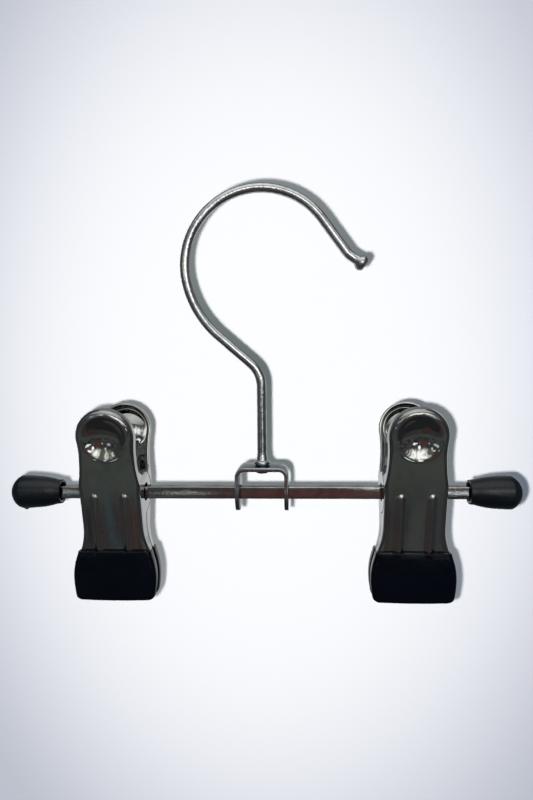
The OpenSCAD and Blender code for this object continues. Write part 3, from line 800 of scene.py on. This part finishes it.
def dished(z, x, y):
    """A height on the outer face, lowered where the ball-shaped dish is pressed in."""
    out = hypot(x, y - HEAD_Y)
    if out > DISH_REACH:
        return z
    ball = PLATE - DISH_DEPTH + DISH_BALL_R - sqrt(DISH_BALL_R ** 2 - out ** 2)
    return smooth_min(z, ball, DISH_EASE)


def fold_radius(y):
    """The edge is folded more roundly about the head than along the body."""
    return FOLD_R + (HEAD_FOLD_R - FOLD_R) * step_between(y, HEAD_FOLD_FROM, HEAD_FOLD_FULL)


def plate_height(x, y):
    """The outer face: flat sheet with the dish pressed in and the ribs pressed out."""
    z = dished(PLATE, x, y)
    off = hypot(abs(x) - RIB_X, max(y - RIB_TOP, 0))
    if off < RIB_R and y > TIP_Y - TIP_WAY:
        rib = PLATE - RIB_R + RIB_PROUD + sqrt(RIB_R ** 2 - off ** 2)
        z = -smooth_min(-z, -rib, RIB_EASE)
    return z


def flange_foot(y, outer):
    """How far down the folded edge reaches, on the side with the outer ear or on the other."""
    rim_y, rim_z = SHOULDER_Y + RIM, PLATE - RIM
    if y >= rim_y:
        foot = rim_z
    elif y >= WEB_Y:
        foot = WEB_Z + (rim_z - WEB_Z) * (y - WEB_Y) / (rim_y - WEB_Y)
    elif y >= 0:
        foot = MEET_GAP + (WEB_Z - MEET_GAP) * y / WEB_Y
    else:
        foot = (MEET_GAP - y * sin(LEAN)) / cos(LEAN)
    if outer and abs(y) < EAR_R:
        foot = min(foot, -sqrt(EAR_R ** 2 - y * y))
    if not outer and abs(y) < EAR_CUT_R:
        foot = max(foot, sqrt(EAR_CUT_R ** 2 - y * y))
    foot += EDGE_OUT
    return foot + (PLATE - SHEET - foot) * step_between(-y, *FLANGE_FADE)


def edge_strip(inside, normal, foot, fold):
    """The fold and flange outward from a plate's edge, as points."""
    arc = fold * pi / 2
    drop = PLATE - foot
    length = arc + drop - fold if drop > fold else fold * acos(1 - drop / fold)
    turn = min(arc, length - LEAST_FLANGE)
    places = [turn * (k + 1) / ROUND_FOLD for k in range(ROUND_FOLD)]
    places += [turn + (length - turn) * (k + 1) / DOWN_FLANGE for k in range(DOWN_FLANGE)]
    made = []
    for s in places:
        a = min(s, arc) / fold
        flat = inside + normal * fold * sin(a)
        height = PLATE - fold * (1 - cos(a)) - max(s - arc, 0)
        made.append(Vector((flat.x, flat.y, dished(height, flat.x, flat.y))))
    return made


def half_row(centre, edge, normal, foot):
    """Points from the jaw's middle line out over the plate and down its folded edge."""
    fold = fold_radius(centre.y)
    inside = edge - normal * fold
    made = []
    for j in range(ACROSS + 1):
        flat = centre.lerp(inside, j / ACROSS)
        made.append(Vector((flat.x, flat.y, plate_height(flat.x, flat.y))))
    return made + edge_strip(inside, normal, foot, fold)


def bent_tip(p):
    """Below the bend the tip stands upright, as it sits in the pad."""
    down = TIP_Y - p.y
    if down <= 0:
        return p
    turn = LEAN * min(down / TIP_BEND, 1)
    rise = p.z - PLATE
    return Vector((p.x, TIP_Y - down * cos(turn) + rise * sin(turn),
                   PLATE + down * sin(turn) + rise * cos(turn)))


def thicken(skin):
    """Gives an open sheet its thickness on the inner side, with a rounded edge all round."""
    skin.normal_update()
    outer_faces, rim_edges = list(skin.faces), [e for e in skin.edges if e.is_boundary]
    inner = {v: skin.verts.new(v.co - v.normal * SHEET * MM) for v in list(skin.verts)}
    away = {}
    for e in rim_edges:
        a, b = e.verts
        face = e.link_faces[0]
        out = (b.co - a.co).cross(face.normal).normalized()
        if out.dot(a.co - face.calc_center_median()) < 0:
            out.negate()
        for v in e.verts:
            away[v] = away.get(v, Vector()) + out
    rim = {}
    for v, out in away.items():
        out = out.normalized() * MM
        rounded = [skin.verts.new(v.co.lerp(inner[v].co, t) + out * push) for t, push in EDGE_ROUND]
        rim[v] = [v, *rounded, inner[v]]
    for face in outer_faces:
        skin.faces.new([inner[v] for v in reversed(face.verts)])
    for e in rim_edges:
        a, b = (rim[v] for v in e.verts)
        for k in range(len(a) - 1):
            skin.faces.new((a[k], a[k + 1], b[k + 1], b[k]))
    bmesh.ops.recalc_face_normals(skin, faces=skin.faces)


def row_heights():
    """From the middle of the head down to the tip."""
    rows = [HEAD_Y - HEAD_ROWS[0] * i for i in range(HEAD_ROWS[1])]
    rows += [rows[-1] - NECK_ROWS[0] * (i + 1) for i in range(NECK_ROWS[1])]
    ear = [EAR_R * cos(pi * i / EAR_ROWS) for i in range(EAR_ROWS + 1)]
    body = [BODY_TOP - BODY_ROWS[0] * i for i in range(BODY_ROWS[1])]
    return rows + ABOVE_EAR + ear + BELOW_EAR + body + TIP_ROWS


def jaw_sheet():
    """The outer face of the pressing as one open sheet, lying on its back."""
    right_rows, left_rows = [], []
    for y in row_heights():
        wide = half_width(y)
        slope = (half_width(y + SLOPE_STEP) - half_width(y - SLOPE_STEP)) / (2 * SLOPE_STEP)
        normal = Vector((1, 0)) if y == HEAD_Y else Vector((1, -slope)).normalized()
        flipped = Vector((-normal.x, normal.y))
        middle = Vector((0, y))
        right_rows.append(half_row(middle, Vector((wide, y)), normal, flange_foot(y, True)))
        left_rows.append(half_row(middle, Vector((-wide, y)), flipped, flange_foot(y, False)))
    head_rows = []
    centre = Vector((0, HEAD_Y))
    for i in range(1, ROUND_HEAD):
        a = pi * i / ROUND_HEAD
        normal = Vector((cos(a), sin(a)))
        head_rows.append(half_row(centre, centre + normal * HEAD_R, normal,
                                  flange_foot(HEAD_Y, True)))
    skin = bmesh.new()
    middle = {round(r[0].y, 4): skin.verts.new(bent_tip(r[0]) * MM) for r in right_rows}
    grid = []
    for points in right_rows[::-1] + head_rows + left_rows:
        outward = [skin.verts.new(bent_tip(p) * MM) for p in points[1:]]
        grid.append([middle[round(points[0].y, 4)], *outward])
    for a, b in zip(grid, grid[1:]):
        for j in range(len(a) - 1):
            skin.faces.new(list(dict.fromkeys((a[j], a[j + 1], b[j + 1], b[j]))))
    bmesh.ops.recalc_face_normals(skin, faces=skin.faces)
    plate_face = max(skin.faces, key=lambda f: f.calc_center_median().z)
    if plate_face.normal.z < 0:
        bmesh.ops.reverse_faces(skin, faces=skin.faces)
    thicken(skin)
    return mesh_from("jaw", skin)


def inner_ear():
    """The ear that is set back beside the facing jaw's outer ear."""
    x0, x1 = INNER_EAR_X
    edge, top = INNER_EAR_EDGE, PLATE - SHEET / 2
    arc = [radians(180 + 180 * i / INNER_EAR_STEPS) for i in range(INNER_EAR_STEPS + 1)]
    loops = []
    for x, inset in ((x0, edge), (x0 + edge, 0), (x1 - edge, 0), (x1, edge)):
        r = INNER_EAR_R - inset
        loop = [(x, r * cos(a), r * sin(a)) for a in arc]
        loops.append(loop + [(x, r, top), (x, -r, top)])
    return loft("inner_ear", loops)


def copies(shape, kind, material, lean=0):
    """A copy of a clip's shape for each face of each clip, riding on its lever."""
    made = []
    for side, sign in SIDES:
        for face, _, turn in FACES:
            mesh = shape.copy()
            mesh.transform(Matrix.Translation(Vector((sign * CLIP_X, 0, BAR_Z)) * MM)
                           @ Matrix.Rotation(turn, 4, "Z") @ Matrix.Rotation(lean, 4, "X"))
            name = f"{side}_{face}_{kind}"
            made.append(place(name, mesh, material, f"{side}_{face}_lever", [name]))
    return made


polished_sheet = metal("polished_sheet", clean=(0.39, 0.395, 0.388, 1),
                       dull=(0.33, 0.335, 0.33, 1), rough=(0.03, 0.075), smear=150,
                       scratch=(1400, 0.12), wave=(130, 0.12), stretch=(1, 1, 0.08),
                       edge=(0.8, 0.8, 0.8, 1))
one_jaw = carve("jaw", jaw_sheet(), (inner_ear(), "UNION"),
                (rod(EAR_HOLE_R, "X", EAR_CUT), "DIFFERENCE"))
copies(one_jaw, "jaw", polished_sheet, pi / 2 + LEAN)

# Pads: soft black vinyl, dipped thick over the jaws' tips. They bulge a little
# at mid height, and a thin lip stands round the sheet where it enters.
PAD_TOP, PAD_FOOT = -17.0, -32.0
PAD_FRONT, PAD_BACK = -4.82, -0.16
PAD_TOP_ROUND, PAD_FOOT_ROUND, PAD_SIDE_ROUND, PAD_LEAST_ROUND = 0.3, 1.6, 1.4, 0.5
# How much less the side edges are rounded where the pad draws in
PAD_ROUND_LOSS = 0.4
# Height and half width, and the shifts over which the width is eased
PAD_WIDTHS = (
    (-17.0, 10.75), (-18.2, 11.1), (-19.6, 11.6), (-21.5, 12.05), (-24, 12.3), (-26.5, 12.25),
    (-29.5, 11.9), (-32.0, 11.45))
PAD_SHIFTS = (-1.2, -0.6, 0, 0.6, 1.2)
PAD_TOP_STEPS, PAD_STEPS, PAD_FOOT_STEPS, PAD_CORNER_STEPS = 6, 30, 10, 6
# A straight run of a level loop that is longer than this gets so many parts
PAD_PARTS = ((10, 60), (0.8, 4), (0, 1))
# The lip: where its face lies at the top, and the height at which the pad is full
LIP_FRONT, LIP_FULL = -4.55, -18.6
# How much of a rib shows through the lip, and how wide
LIP_RIB, LIP_RIB_WIDE = 0.3 * RIB_PROUD, 1.15
PAD_CROWN, PAD_SAG, SAG_FROM = 0.18, 0.22, 0.6
# Distances in front of the clip's middle between which the crown and the lip take effect
FRONT_FADE = (2.2, 4.4)
PAD_TINTS = (0.0005, 0.0018, 0.0042, 1), (0.0012, 0.0042, 0.0098, 1)
PAD_ROUGH, PAD_SPECULAR = (0.12, 0.24), 0.16
VINYL_CONTRAST = (0.3, 0.7)


def eased_between(table, at):
    """Value from a table of places and values, in falling order of place."""
    for (a, va), (b, vb) in zip(table, table[1:]):
        if a >= at >= b:
            return va + (vb - va) * (a - at) / (a - b)
    return table[-1][1]


def pad_half_width(z):
    near = [min(max(z + d, PAD_FOOT), PAD_TOP) for d in PAD_SHIFTS]
    return sum(eased_between(PAD_WIDTHS, at) for at in near) / len(near)


def quarter_turn(steps):
    """Cosine and sine from 0 to 90 degrees."""
    turns = [pi / 2 * i / steps for i in range(steps + 1)]
    return [(cos(a), sin(a)) for a in turns]


def pad_levels():
    """Heights from the lip down to the rounded foot, and how far the pad draws in there."""
    r, first = PAD_TOP_ROUND, PAD_TOP - PAD_TOP_ROUND
    levels = [(first + r * c, r * (1 - s)) for c, s in quarter_turn(PAD_TOP_STEPS)]
    r, last = PAD_FOOT_ROUND, PAD_FOOT + PAD_FOOT_ROUND
    levels += [(first + (last - first) * (i + 1) / PAD_STEPS, 0) for i in range(PAD_STEPS)]
    return levels + [(last - r * s, r * (1 - c)) for c, s in quarter_turn(PAD_FOOT_STEPS)[1:]]


def dense_loop(outline):
    """The same loop with its long straight runs cut into parts."""
    dense = []
    for (x, y), (nx, ny) in zip(outline, outline[1:] + outline[:1]):
        length = hypot(nx - x, ny - y)
        parts = next((count for least, count in PAD_PARTS if length > least), 1)
        dense += [(x + (nx - x) * i / parts, y + (ny - y) * i / parts) for i in range(parts)]
    return dense


def pad_mesh():
    """Level loops, each crowned in front, set back at the lip and sagging at the foot."""
    loops = []
    for z, inset in pad_levels():
        wide = pad_half_width(z) - inset
        deep = (z - PAD_TOP) / (PAD_FOOT - PAD_TOP)
        lip = 1 - step_between(-z, -PAD_TOP, -LIP_FULL)
        outline = round_corners((-wide, PAD_FRONT + inset, wide, PAD_BACK - inset),
                                max(PAD_SIDE_ROUND - PAD_ROUND_LOSS * inset, PAD_LEAST_ROUND),
                                PAD_CORNER_STEPS)
        loop = []
        for x, y in dense_loop(outline):
            across = min(abs(x) / wide, 1)
            swell = PAD_CROWN * (1 - across ** 2) * sin(pi * min(max(deep, 0), 1))
            front = step_between(-y, *FRONT_FADE)
            over_rib = LIP_RIB * exp(-((abs(x) - RIB_X) / LIP_RIB_WIDE) ** 2)
            set_back = lip * (LIP_FRONT - PAD_FRONT - over_rib) + (1 - lip) * (PAD_CROWN - swell)
            sag = PAD_SAG * across ** 2 * step_between(deep, SAG_FROM, 1)
            loop.append((x, y + front * set_back, z + sag))
        loops.append(loop)
    return loft("pad", loops)


def vinyl(tree, cloud, tints, rough, specular, normal):
    """Black vinyl that is cloudy in tint and gloss."""
    shader = put(tree, "BsdfPrincipled", {
        "Base Color": mixed(tree, cloud, *tints), "Specular IOR Level": specular,
        "Roughness": remap(tree, cloud, *VINYL_CONTRAST, *rough), "Normal": normal})
    show(tree, shader.outputs[0])


black_pad, tree = bare_material("black_pad")
spot = on_piece(tree)
cloud = noise(tree, spot, scale=180, detail=5, roughness=0.6)
fine = bumped(tree, noise(tree, spot, scale=2600), distance=0.00003, Strength=0.12)
soft = bumped(tree, cloud, distance=0.0004, Strength=0.25, Normal=fine)
vinyl(tree, cloud, PAD_TINTS, PAD_ROUGH, PAD_SPECULAR, soft)
for pad in copies(pad_mesh(), "pad", black_pad):
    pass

# End caps: satin black vinyl, moulded hollow and pushed over the bar's ends.
# Each swells towards a domed end, and its open mouth has a thin turned lip.
CAP_MOUTH_X = 59.8
# Distance from the mouth and radius, from the bore's bottom out and round to the dome
CAP_PROFILE = (
    (11.7, 0), (11.7, 1.2), (11.7, 2.3), (11.6, 2.4), (8, 2.4), (4, 2.4), (1.2, 2.42), (0.6, 2.52),
    (0.25, 2.68), (0.08, 2.9), (0.0, 3.15), (0.03, 3.38), (0.14, 3.52), (0.32, 3.58), (0.55, 3.6),
    (0.85, 3.62), (1.3, 3.68), (2.2, 3.93), (3.4, 4.23), (4.8, 4.5), (6.2, 4.68), (7.6, 4.8),
    (9, 4.89), (10.2, 4.95), (11.2, 4.97), (11.7, 4.96), (11.95, 4.93), (12.2, 4.86), (12.6, 4.67),
    (13.1, 4.34), (13.6, 3.92), (14.1, 3.37), (14.55, 2.7), (14.9, 1.85), (15.1, 1.0),
    (15.17, 0.4), (15.18, 0))
CAP_SIDES, CAP_CREASE = 96, 50
# The lip's ripple: its height, the share of its finer wave, and the part of the
# profile that it bends, by least radius and greatest distance from the mouth
CAP_RIPPLE, FINER_SHARE, RIPPLE_LEAST_R, RIPPLE_DEEP = 0.14, 0.6, 2.5, 0.7
# The left cap keeps a small nub from its mould underneath
NUB_AT, NUB_LONG, NUB_TURN, NUB_TALL, NUB_LEAST_R = 11.2, 0.75, 0.16, 0.6, 3
CAP_TINTS = (0.0016, 0.004, 0.0068, 1), (0.0038, 0.0085, 0.0128, 1)
CAP_ROUGH, CAP_SPECULAR, LINE_STRETCH = (0.22, 0.36), 0.42, (1, 0.1, 0.1)

black_cap, tree = bare_material("black_cap")
spot = on_piece(tree)
cloud = noise(tree, spot, scale=320, detail=5, roughness=0.65)
fine = bumped(tree, noise(tree, spot, scale=3200), distance=0.00004, Strength=0.2)
lines = noise(tree, vector(tree, "MULTIPLY", spot, LINE_STRETCH), scale=1100, detail=3)
turned = bumped(tree, lines, distance=0.00006, Strength=0.15, Normal=fine)
vinyl(tree, cloud, CAP_TINTS, CAP_ROUGH, CAP_SPECULAR, turned)


def cap_mesh(name, sign, nub):
    """Rings from the bore out round the lip to the dome; the lip is a little uneven."""
    loops = []
    for along, radius in CAP_PROFILE:
        points = ring(Vector((0, 0, 0)), Vector((1, 0, 0)), radius, Vector((0, 0, 1)), CAP_SIDES)
        loop = []
        for k, p in enumerate(points):
            a = tau * k / CAP_SIDES
            out = 0
            if radius > RIPPLE_LEAST_R and along < RIPPLE_DEEP:
                ripple = sin(3 * a + 1) + FINER_SHARE * sin(5 * a + sign)
                out = max(CAP_RIPPLE * ripple, 0)
            if nub and radius > NUB_LEAST_R:
                off = ((along - NUB_AT) / NUB_LONG) ** 2 + ((a - pi) / NUB_TURN) ** 2
                p = p * (1 + NUB_TALL * exp(-off) / radius)
            loop.append((sign * (CAP_MOUTH_X + along + out), p.y, BAR_Z + p.z))
        loops.append(loop)
    return loft(name, loops)


for side, sign in SIDES:
    name = f"{side}_end_cap"
    place(name, cap_mesh(name, sign, side == "left"), black_cap, "frame", [name],
          crease=CAP_CREASE)
